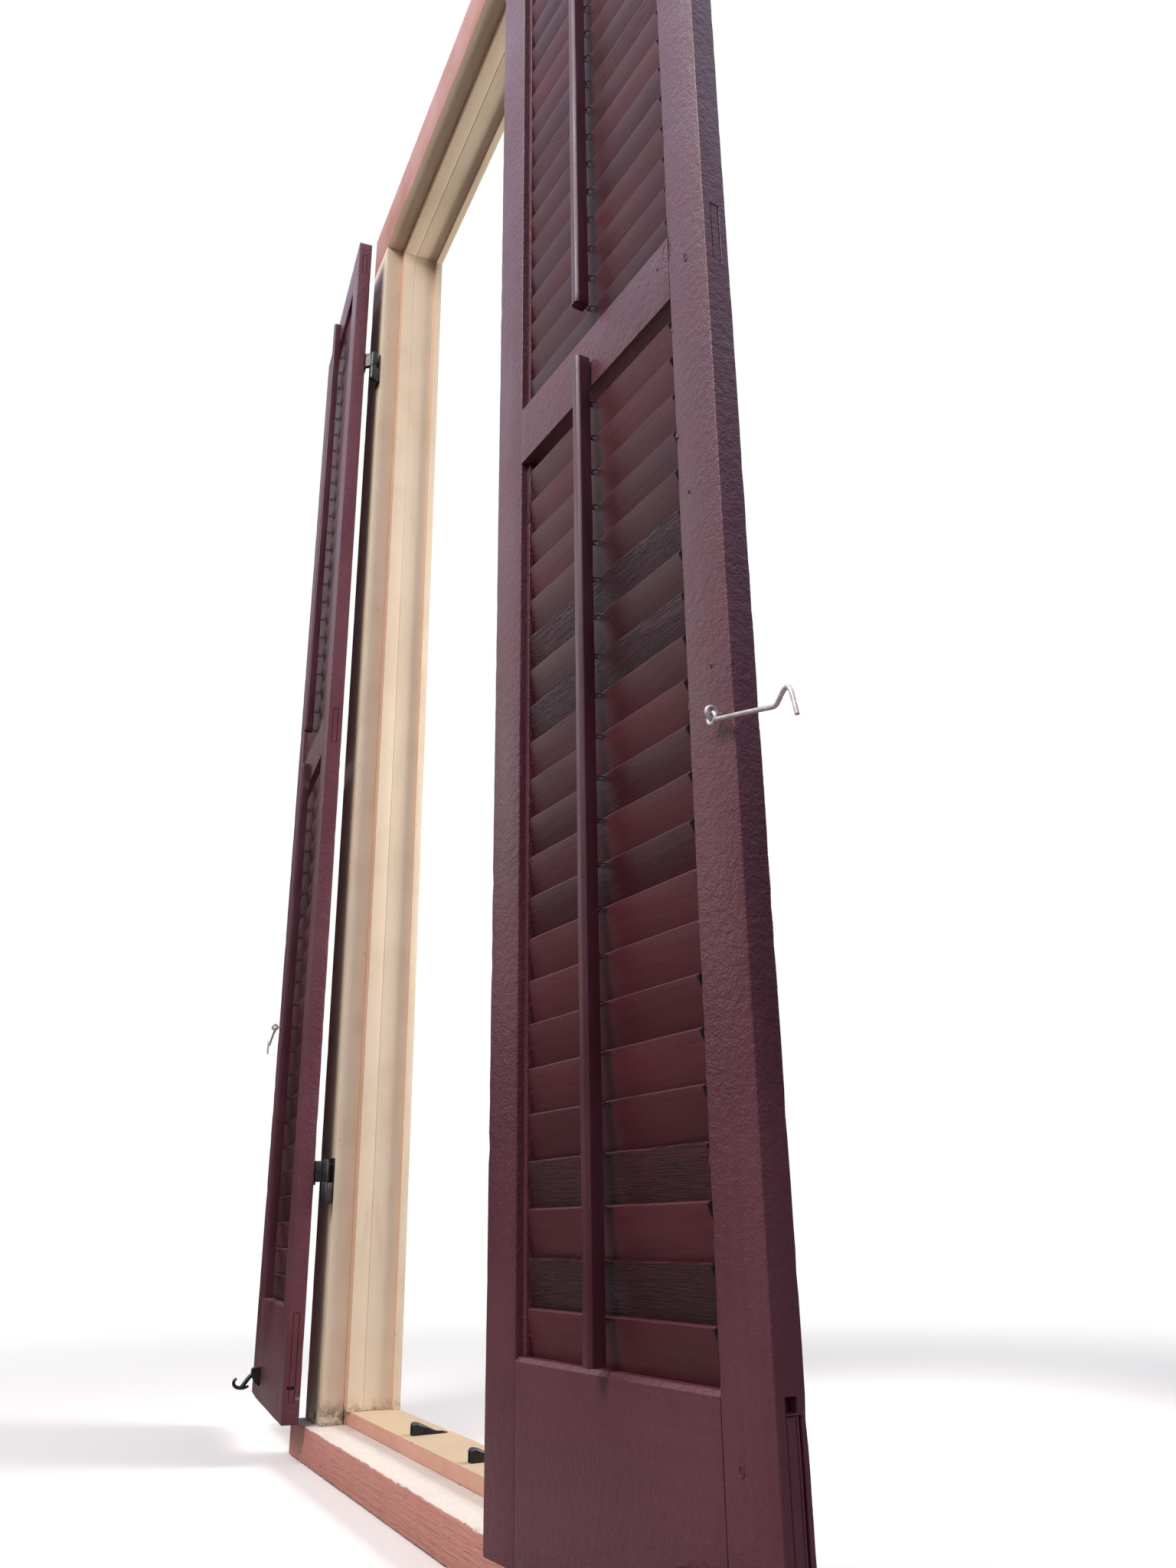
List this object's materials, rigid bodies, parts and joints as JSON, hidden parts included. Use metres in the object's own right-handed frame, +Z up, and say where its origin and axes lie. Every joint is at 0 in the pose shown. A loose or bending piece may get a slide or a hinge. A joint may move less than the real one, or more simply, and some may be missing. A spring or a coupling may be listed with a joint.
{
  "type": "louvred window shutters",
  "caption": "Pair of hinged louvred shutters on a timber window frame, standing open, with tilting louvres, tilt rods, throw hinges and hooks.",
  "frame": {"origin": "middle of the head casing's back, the face that lies on the wall", "axes": "+X along the wall to the right seen from outside, +Y into the wall, +Z up"},
  "size_m": [1.8128, 0.1849, 2.327],
  "materials": {
    "leaf_paint": "semi-gloss mauve-brown paint, brushed on",
    "louvre_paint": "semi-gloss burgundy paint over weathered grain",
    "rod_paint": "semi-gloss burgundy paint",
    "casing_paint": "cream paint",
    "head_paint": "salmon paint",
    "sill_paint": "salmon paint, top off-white",
    "sub_sill_paint": "cream paint",
    "black_iron": "black painted cast iron",
    "galvanised_wire": "dull galvanised"
  },
  "bodies": {
    "window_frame": {"left_casing": "casing_paint", "right_casing": "casing_paint", "head_casing": "head_paint", "left_jamb": "casing_paint", "right_jamb": "casing_paint", "head_jamb": "casing_paint", "sill": "sill_paint", "sub_sill": "sub_sill_paint", "sill_keepers": "black_iron", "casing_hinges": "black_iron"},
    "right_leaf": {"right_bottom_rail": "leaf_paint", "right_catch_bracket": "black_iron", "right_free_stile": "leaf_paint", "right_hinge_stile": "leaf_paint", "right_hinges": "black_iron", "right_hook_eye": "galvanised_wire", "right_mid_rail": "leaf_paint", "right_pivot_strips": "leaf_paint", "right_top_rail": "leaf_paint", "right_upper_louvres": "louvre_paint", "right_upper_rod": "rod_paint"},
    "left_leaf": {"left_bottom_rail": "leaf_paint", "left_catch_bracket": "black_iron", "left_free_stile": "leaf_paint", "left_hinge_stile": "leaf_paint", "left_hinges": "black_iron", "left_hook_eye": "galvanised_wire", "left_lower_louvres": "louvre_paint", "left_lower_rod": "rod_paint", "left_mid_rail": "leaf_paint", "left_top_rail": "leaf_paint", "left_upper_louvres": "louvre_paint", "left_upper_rod": "rod_paint"},
    "left_closing_hook": {"left_closing_hook": "black_iron"},
    "left_hold_open_hook": {"left_hold_open_hook": "galvanised_wire"},
    "right_closing_hook": {"right_closing_hook": "black_iron"},
    "right_hold_open_hook": {"right_hold_open_hook": "galvanised_wire"},
    "right_louvre_01": {"right_louvre_01": "louvre_paint"},
    "right_louvre_02": {"right_louvre_02": "louvre_paint"},
    "right_louvre_03": {"right_louvre_03": "louvre_paint"},
    "right_louvre_04": {"right_louvre_04": "louvre_paint"},
    "right_louvre_05": {"right_louvre_05": "louvre_paint"},
    "right_louvre_06": {"right_louvre_06": "louvre_paint"},
    "right_louvre_07": {"right_louvre_07": "louvre_paint"},
    "right_louvre_08": {"right_louvre_08": "louvre_paint"},
    "right_louvre_09": {"right_louvre_09": "louvre_paint"},
    "right_louvre_10": {"right_louvre_10": "louvre_paint"},
    "right_louvre_11": {"right_louvre_11": "louvre_paint"},
    "right_louvre_12": {"right_louvre_12": "louvre_paint"},
    "right_louvre_13": {"right_louvre_13": "louvre_paint"},
    "right_louvre_14": {"right_louvre_14": "louvre_paint"},
    "right_louvre_15": {"right_louvre_15": "louvre_paint"},
    "right_louvre_16": {"right_louvre_16": "louvre_paint"},
    "right_louvre_17": {"right_louvre_17": "louvre_paint"},
    "right_louvre_18": {"right_louvre_18": "louvre_paint"},
    "right_louvre_19": {"right_louvre_19": "louvre_paint"},
    "right_louvre_20": {"right_louvre_20": "louvre_paint"},
    "right_louvre_21": {"right_louvre_21": "louvre_paint"},
    "right_louvre_22": {"right_louvre_22": "louvre_paint"},
    "right_lower_rod": {"right_lower_rod": "rod_paint"}
  },
  "joints": [
    {"name": "right_leaf_hinge", "type": "hinge", "parent": "window_frame", "child": "right_leaf", "pos_m": [0.4108, -0.0495, -1.923], "axis": [0, 0, -1], "range_deg": [0, 185.8]},
    {"name": "left_leaf_hinge", "type": "hinge", "parent": "window_frame", "child": "left_leaf", "pos_m": [-0.4108, -0.0495, -1.923], "axis": [0, 0, 1], "range_deg": [0, 184.5]},
    {"name": "louvre_tilt_01", "type": "hinge", "parent": "right_leaf", "child": "right_louvre_01", "pos_m": [0.61886, -0.05641, -2.0505], "axis": [0.9949, 0.1011, 0], "range_deg": [0, 95]},
    {"name": "louvre_tilt_02", "type": "hinge", "parent": "right_leaf", "child": "right_louvre_02", "pos_m": [0.61886, -0.05641, -2.01012], "axis": [0.9949, 0.1011, 0], "range_deg": [0, 95]},
    {"name": "louvre_tilt_03", "type": "hinge", "parent": "right_leaf", "child": "right_louvre_03", "pos_m": [0.61886, -0.05641, -1.96974], "axis": [0.9949, 0.1011, 0], "range_deg": [0, 95]},
    {"name": "louvre_tilt_04", "type": "hinge", "parent": "right_leaf", "child": "right_louvre_04", "pos_m": [0.61886, -0.05641, -1.92936], "axis": [0.9949, 0.1011, 0], "range_deg": [0, 95]},
    {"name": "louvre_tilt_05", "type": "hinge", "parent": "right_leaf", "child": "right_louvre_05", "pos_m": [0.61886, -0.05641, -1.88898], "axis": [0.9949, 0.1011, 0], "range_deg": [0, 95]},
    {"name": "louvre_tilt_06", "type": "hinge", "parent": "right_leaf", "child": "right_louvre_06", "pos_m": [0.61886, -0.05641, -1.84859], "axis": [0.9949, 0.1011, 0], "range_deg": [0, 95]},
    {"name": "louvre_tilt_07", "type": "hinge", "parent": "right_leaf", "child": "right_louvre_07", "pos_m": [0.61886, -0.05641, -1.80821], "axis": [0.9949, 0.1011, 0], "range_deg": [0, 95]},
    {"name": "louvre_tilt_08", "type": "hinge", "parent": "right_leaf", "child": "right_louvre_08", "pos_m": [0.61886, -0.05641, -1.76783], "axis": [0.9949, 0.1011, 0], "range_deg": [0, 95]},
    {"name": "louvre_tilt_09", "type": "hinge", "parent": "right_leaf", "child": "right_louvre_09", "pos_m": [0.61886, -0.05641, -1.72745], "axis": [0.9949, 0.1011, 0], "range_deg": [0, 95]},
    {"name": "louvre_tilt_10", "type": "hinge", "parent": "right_leaf", "child": "right_louvre_10", "pos_m": [0.61886, -0.05641, -1.68707], "axis": [0.9949, 0.1011, 0], "range_deg": [0, 95]},
    {"name": "louvre_tilt_11", "type": "hinge", "parent": "right_leaf", "child": "right_louvre_11", "pos_m": [0.61886, -0.05641, -1.64669], "axis": [0.9949, 0.1011, 0], "range_deg": [0, 95]},
    {"name": "louvre_tilt_12", "type": "hinge", "parent": "right_leaf", "child": "right_louvre_12", "pos_m": [0.61886, -0.05641, -1.60631], "axis": [0.9949, 0.1011, 0], "range_deg": [0, 95]},
    {"name": "louvre_tilt_13", "type": "hinge", "parent": "right_leaf", "child": "right_louvre_13", "pos_m": [0.61886, -0.05641, -1.56593], "axis": [0.9949, 0.1011, 0], "range_deg": [0, 95]},
    {"name": "louvre_tilt_14", "type": "hinge", "parent": "right_leaf", "child": "right_louvre_14", "pos_m": [0.61886, -0.05641, -1.52555], "axis": [0.9949, 0.1011, 0], "range_deg": [0, 95]},
    {"name": "louvre_tilt_15", "type": "hinge", "parent": "right_leaf", "child": "right_louvre_15", "pos_m": [0.61886, -0.05641, -1.48517], "axis": [0.9949, 0.1011, 0], "range_deg": [0, 95]},
    {"name": "louvre_tilt_16", "type": "hinge", "parent": "right_leaf", "child": "right_louvre_16", "pos_m": [0.61886, -0.05641, -1.44479], "axis": [0.9949, 0.1011, 0], "range_deg": [0, 95]},
    {"name": "louvre_tilt_17", "type": "hinge", "parent": "right_leaf", "child": "right_louvre_17", "pos_m": [0.61886, -0.05641, -1.4044], "axis": [0.9949, 0.1011, 0], "range_deg": [0, 95]},
    {"name": "louvre_tilt_18", "type": "hinge", "parent": "right_leaf", "child": "right_louvre_18", "pos_m": [0.61886, -0.05641, -1.36402], "axis": [0.9949, 0.1011, 0], "range_deg": [0, 95]},
    {"name": "louvre_tilt_19", "type": "hinge", "parent": "right_leaf", "child": "right_louvre_19", "pos_m": [0.61886, -0.05641, -1.32364], "axis": [0.9949, 0.1011, 0], "range_deg": [0, 95]},
    {"name": "louvre_tilt_20", "type": "hinge", "parent": "right_leaf", "child": "right_louvre_20", "pos_m": [0.61886, -0.05641, -1.28326], "axis": [0.9949, 0.1011, 0], "range_deg": [0, 95]},
    {"name": "louvre_tilt_21", "type": "hinge", "parent": "right_leaf", "child": "right_louvre_21", "pos_m": [0.61886, -0.05641, -1.24288], "axis": [0.9949, 0.1011, 0], "range_deg": [0, 95]},
    {"name": "louvre_tilt_22", "type": "hinge", "parent": "right_leaf", "child": "right_louvre_22", "pos_m": [0.61886, -0.05641, -1.2025], "axis": [0.9949, 0.1011, 0], "range_deg": [0, 95]},
    {"name": "rod_hang", "type": "hinge", "parent": "right_louvre_11", "child": "right_lower_rod", "pos_m": [0.61989, -0.06653, -1.62817], "axis": [0.9949, 0.1011, 0], "range_deg": [-95, 0]},
    {"name": "right_hold_open_swing", "type": "hinge", "parent": "right_leaf", "child": "right_hold_open_hook", "pos_m": [0.80814, -0.0595, -1.6036], "axis": [-0.1011, 0.9949, 0], "range_deg": [-35, 76]},
    {"name": "right_closing_swing", "type": "hinge", "parent": "right_leaf", "child": "right_closing_hook", "pos_m": [0.72356, -0.06789, -2.18], "axis": [-0.9949, -0.1011, 0], "range_deg": [0, 70]},
    {"name": "left_hold_open_swing", "type": "hinge", "parent": "left_leaf", "child": "left_hold_open_hook", "pos_m": [-0.80781, -0.06851, -1.6036], "axis": [-0.0785, -0.9969, 0], "range_deg": [-35, 76]},
    {"name": "left_closing_swing", "type": "hinge", "parent": "left_leaf", "child": "left_closing_hook", "pos_m": [-0.72306, -0.07498, -2.18], "axis": [-0.9969, 0.0785, 0], "range_deg": [0, 70]}
  ],
  "couplings": [
    {"joint": "louvre_tilt_01", "follows": "louvre_tilt_11", "ratio": 1},
    {"joint": "louvre_tilt_02", "follows": "louvre_tilt_11", "ratio": 1},
    {"joint": "louvre_tilt_03", "follows": "louvre_tilt_11", "ratio": 1},
    {"joint": "louvre_tilt_04", "follows": "louvre_tilt_11", "ratio": 1},
    {"joint": "louvre_tilt_05", "follows": "louvre_tilt_11", "ratio": 1},
    {"joint": "louvre_tilt_06", "follows": "louvre_tilt_11", "ratio": 1},
    {"joint": "louvre_tilt_07", "follows": "louvre_tilt_11", "ratio": 1},
    {"joint": "louvre_tilt_08", "follows": "louvre_tilt_11", "ratio": 1},
    {"joint": "louvre_tilt_09", "follows": "louvre_tilt_11", "ratio": 1},
    {"joint": "louvre_tilt_10", "follows": "louvre_tilt_11", "ratio": 1},
    {"joint": "louvre_tilt_12", "follows": "louvre_tilt_11", "ratio": 1},
    {"joint": "louvre_tilt_13", "follows": "louvre_tilt_11", "ratio": 1},
    {"joint": "louvre_tilt_14", "follows": "louvre_tilt_11", "ratio": 1},
    {"joint": "louvre_tilt_15", "follows": "louvre_tilt_11", "ratio": 1},
    {"joint": "louvre_tilt_16", "follows": "louvre_tilt_11", "ratio": 1},
    {"joint": "louvre_tilt_17", "follows": "louvre_tilt_11", "ratio": 1},
    {"joint": "louvre_tilt_18", "follows": "louvre_tilt_11", "ratio": 1},
    {"joint": "louvre_tilt_19", "follows": "louvre_tilt_11", "ratio": 1},
    {"joint": "louvre_tilt_20", "follows": "louvre_tilt_11", "ratio": 1},
    {"joint": "louvre_tilt_21", "follows": "louvre_tilt_11", "ratio": 1},
    {"joint": "louvre_tilt_22", "follows": "louvre_tilt_11", "ratio": 1},
    {"joint": "rod_hang", "follows": "louvre_tilt_11", "ratio": -1}
  ]
}
